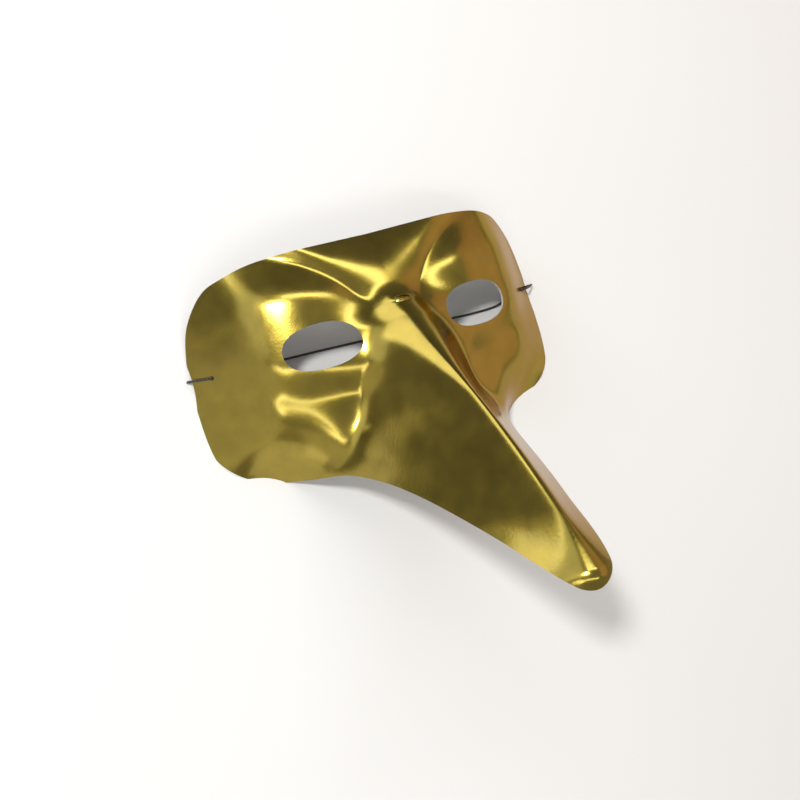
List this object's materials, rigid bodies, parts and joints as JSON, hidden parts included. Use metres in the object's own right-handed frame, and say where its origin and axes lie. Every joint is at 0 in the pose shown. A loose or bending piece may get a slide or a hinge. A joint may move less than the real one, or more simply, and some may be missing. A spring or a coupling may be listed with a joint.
{
  "type": "venetian mask",
  "caption": "Half-face carnival mask with a long curved beak, formed from thin sheet, lying face up with its loose elastic cord.",
  "frame": {"origin": "middle of the mask's footprint, on the surface it lies on face up, measured without the cord", "axes": "+Z out of the face and up, +Y towards the forehead, -Y towards the beak's tip, +X to the right as one looks at the face"},
  "size_m": [0.1638, 0.1482, 0.1232],
  "materials": {
    "gold_sheet": "mirror-bright yellow-gold metallised front, plain matt grey back",
    "black_elastic": "matt black braided elastic"
  },
  "bodies": {
    "root": {"mask_shell": "gold_sheet", "elastic_cord": "black_elastic", "left_knot": "black_elastic", "right_knot": "black_elastic"}
  },
  "joints": []
}
